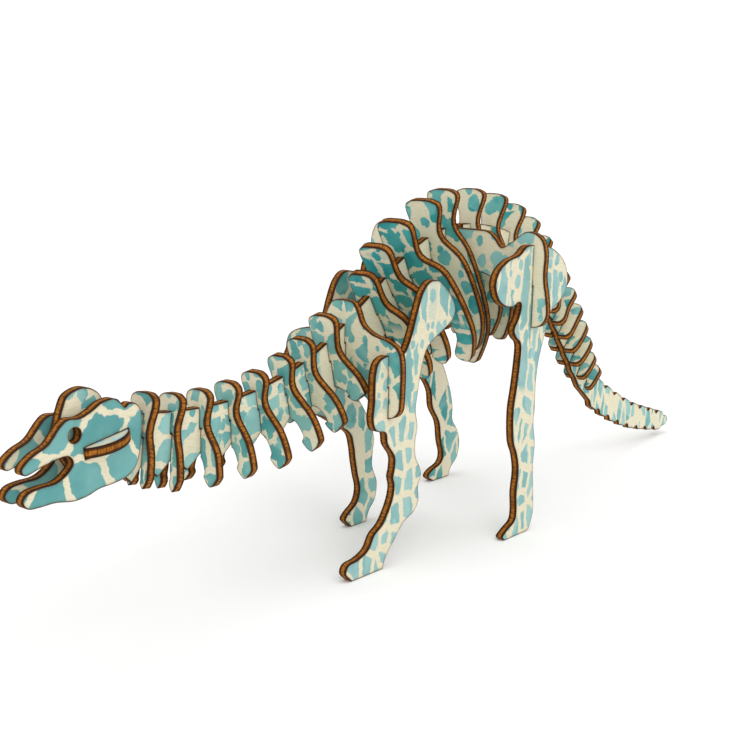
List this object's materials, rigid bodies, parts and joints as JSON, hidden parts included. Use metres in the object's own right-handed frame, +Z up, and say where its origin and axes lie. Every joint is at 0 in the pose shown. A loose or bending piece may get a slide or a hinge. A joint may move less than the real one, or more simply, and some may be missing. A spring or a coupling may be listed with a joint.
{
  "type": "wooden dinosaur puzzle",
  "caption": "Slot-together plywood long-necked dinosaur: a flat spine plate carries cross ribs, two girdle plates with legs, cheeks and an ear plate.",
  "frame": {"origin": "on the ground under the middle of the model", "axes": "+X from the snout to the tail tip, +Y to the animal's right side, +Z up"},
  "size_m": [0.3351, 0.068, 0.1051],
  "materials": {
    "printed_cream": "printed plywood, satin, burnt edges",
    "printed_teal": "printed plywood, satin, burnt edges",
    "printed_sky": "printed plywood, satin, burnt edges"
  },
  "bodies": {
    "spine": {"spine": "printed_cream"},
    "cheek_left": {"cheek_left": "printed_teal"},
    "cheek_right": {"cheek_right": "printed_teal"},
    "ear_plate": {"ear_plate": "printed_sky"},
    "shoulder_girdle": {"shoulder_girdle": "printed_teal"},
    "hip_girdle": {"hip_girdle": "printed_cream"},
    "leg_front_left": {"leg_front_left": "printed_sky"},
    "leg_front_right": {"leg_front_right": "printed_teal"},
    "leg_hind_left": {"leg_hind_left": "printed_sky"},
    "leg_hind_right": {"leg_hind_right": "printed_teal"},
    "neck_rib_1": {"neck_rib_1": "printed_teal"},
    "neck_rib_2": {"neck_rib_2": "printed_teal"},
    "neck_rib_3": {"neck_rib_3": "printed_teal"},
    "neck_rib_4": {"neck_rib_4": "printed_teal"},
    "neck_rib_5": {"neck_rib_5": "printed_teal"},
    "neck_rib_6": {"neck_rib_6": "printed_teal"},
    "neck_rib_7": {"neck_rib_7": "printed_teal"},
    "neck_rib_8": {"neck_rib_8": "printed_teal"},
    "chest_rib_1": {"chest_rib_1": "printed_teal"},
    "chest_rib_2": {"chest_rib_2": "printed_teal"},
    "chest_rib_3": {"chest_rib_3": "printed_teal"},
    "chest_rib_4": {"chest_rib_4": "printed_teal"},
    "chest_rib_5": {"chest_rib_5": "printed_teal"},
    "chest_rib_6": {"chest_rib_6": "printed_teal"},
    "hip_rib_1": {"hip_rib_1": "printed_teal"},
    "hip_rib_2": {"hip_rib_2": "printed_teal"},
    "hip_rib_3": {"hip_rib_3": "printed_teal"},
    "tail_plate_1": {"tail_plate_1": "printed_teal"},
    "tail_plate_2": {"tail_plate_2": "printed_teal"},
    "tail_plate_3": {"tail_plate_3": "printed_teal"},
    "tail_plate_4": {"tail_plate_4": "printed_teal"},
    "tail_plate_5": {"tail_plate_5": "printed_teal"},
    "tail_plate_6": {"tail_plate_6": "printed_teal"},
    "tail_plate_7": {"tail_plate_7": "printed_teal"},
    "tail_plate_8": {"tail_plate_8": "printed_teal"},
    "tail_plate_9": {"tail_plate_9": "printed_teal"}
  },
  "joints": [
    {"name": "neck_rib_1_lift", "type": "slide", "parent": "spine", "child": "neck_rib_1", "axis": [0.1045, 0, 0.9945], "range_m": [0, 0.0195]},
    {"name": "neck_rib_2_lift", "type": "slide", "parent": "spine", "child": "neck_rib_2", "axis": [0.0698, 0, 0.9976], "range_m": [0, 0.0213]},
    {"name": "neck_rib_3_lift", "type": "slide", "parent": "spine", "child": "neck_rib_3", "axis": [0, 0, 1], "range_m": [0, 0.0213]},
    {"name": "neck_rib_4_lift", "type": "slide", "parent": "spine", "child": "neck_rib_4", "axis": [-0.0698, 0, 0.9976], "range_m": [0, 0.0215]},
    {"name": "neck_rib_5_lift", "type": "slide", "parent": "spine", "child": "neck_rib_5", "axis": [-0.1564, 0, 0.9877], "range_m": [0, 0.0225]},
    {"name": "neck_rib_6_lift", "type": "slide", "parent": "spine", "child": "neck_rib_6", "axis": [-0.225, 0, 0.9744], "range_m": [0, 0.0225]},
    {"name": "neck_rib_7_lift", "type": "slide", "parent": "spine", "child": "neck_rib_7", "axis": [-0.2504, 0, 0.9681], "range_m": [0, 0.0215]},
    {"name": "neck_rib_8_lift", "type": "slide", "parent": "spine", "child": "neck_rib_8", "axis": [-0.2588, 0, 0.9659], "range_m": [0, 0.0185]},
    {"name": "chest_rib_1_lift", "type": "slide", "parent": "spine", "child": "chest_rib_1", "axis": [-0.5446, 0, 0.8387], "range_m": [0, 0.0315]},
    {"name": "chest_rib_2_lift", "type": "slide", "parent": "spine", "child": "chest_rib_2", "axis": [-0.5592, 0, 0.829], "range_m": [0, 0.0335]},
    {"name": "chest_rib_3_lift", "type": "slide", "parent": "spine", "child": "chest_rib_3", "axis": [-0.4695, 0, 0.8829], "range_m": [0, 0.0375]},
    {"name": "chest_rib_4_lift", "type": "slide", "parent": "spine", "child": "chest_rib_4", "axis": [-0.2924, 0, 0.9563], "range_m": [0, 0.038]},
    {"name": "chest_rib_5_lift", "type": "slide", "parent": "spine", "child": "chest_rib_5", "axis": [-0.1392, 0, 0.9903], "range_m": [0, 0.0435]},
    {"name": "chest_rib_6_lift", "type": "slide", "parent": "spine", "child": "chest_rib_6", "axis": [0, 0, 1], "range_m": [0, 0.0365]},
    {"name": "hip_rib_1_lift", "type": "slide", "parent": "spine", "child": "hip_rib_1", "axis": [0.1219, 0, 0.9925], "range_m": [0, 0.0375]},
    {"name": "hip_rib_2_lift", "type": "slide", "parent": "spine", "child": "hip_rib_2", "axis": [0.2419, 0, 0.9703], "range_m": [0, 0.0235]},
    {"name": "hip_rib_3_lift", "type": "slide", "parent": "spine", "child": "hip_rib_3", "axis": [0.342, 0, 0.9397], "range_m": [0, 0.0185]},
    {"name": "tail_plate_1_lift", "type": "slide", "parent": "spine", "child": "tail_plate_1", "axis": [0.5446, 0, 0.8387], "range_m": [0, 0.0135]},
    {"name": "tail_plate_2_lift", "type": "slide", "parent": "spine", "child": "tail_plate_2", "axis": [0.6018, 0, 0.7986], "range_m": [0, 0.0125]},
    {"name": "tail_plate_3_lift", "type": "slide", "parent": "spine", "child": "tail_plate_3", "axis": [0.6428, 0, 0.766], "range_m": [0, 0.0119]},
    {"name": "tail_plate_4_lift", "type": "slide", "parent": "spine", "child": "tail_plate_4", "axis": [0.682, 0, 0.7314], "range_m": [0, 0.0111]},
    {"name": "tail_plate_5_lift", "type": "slide", "parent": "spine", "child": "tail_plate_5", "axis": [0.7071, 0, 0.7071], "range_m": [0, 0.0107]},
    {"name": "tail_plate_6_lift", "type": "slide", "parent": "spine", "child": "tail_plate_6", "axis": [0.7193, 0, 0.6947], "range_m": [0, 0.0101]},
    {"name": "tail_plate_7_lift", "type": "slide", "parent": "spine", "child": "tail_plate_7", "axis": [0.7193, 0, 0.6947], "range_m": [0, 0.0095]},
    {"name": "tail_plate_8_lift", "type": "slide", "parent": "spine", "child": "tail_plate_8", "axis": [0.682, 0, 0.7314], "range_m": [0, 0.0087]},
    {"name": "tail_plate_9_lift", "type": "slide", "parent": "spine", "child": "tail_plate_9", "axis": [0.6157, 0, 0.788], "range_m": [0, 0.0079]},
    {"name": "shoulder_girdle_lift", "type": "slide", "parent": "spine", "child": "shoulder_girdle", "axis": [0, 0, 1], "range_m": [0, 0.01]},
    {"name": "hip_girdle_lift", "type": "slide", "parent": "spine", "child": "hip_girdle", "axis": [0, 0, 1], "range_m": [0, 0.03]},
    {"name": "leg_front_left_drop", "type": "slide", "parent": "spine", "child": "leg_front_left", "axis": [0, 0, -1], "range_m": [0, 0.01]},
    {"name": "leg_front_right_drop", "type": "slide", "parent": "spine", "child": "leg_front_right", "axis": [0, 0, -1], "range_m": [0, 0.01]},
    {"name": "leg_hind_left_drop", "type": "slide", "parent": "spine", "child": "leg_hind_left", "axis": [0, 0, -1], "range_m": [0, 0.0135]},
    {"name": "leg_hind_right_drop", "type": "slide", "parent": "spine", "child": "leg_hind_right", "axis": [0, 0, -1], "range_m": [0, 0.0135]},
    {"name": "cheek_left_off", "type": "slide", "parent": "spine", "child": "cheek_left", "axis": [0, -1, 0], "range_m": [0, 0.0065]},
    {"name": "cheek_right_off", "type": "slide", "parent": "spine", "child": "cheek_right", "axis": [0, 1, 0], "range_m": [0, 0.0065]},
    {"name": "ear_plate_out", "type": "slide", "parent": "spine", "child": "ear_plate", "axis": [0, -1, 0], "range_m": [0, 0.0125]}
  ]
}
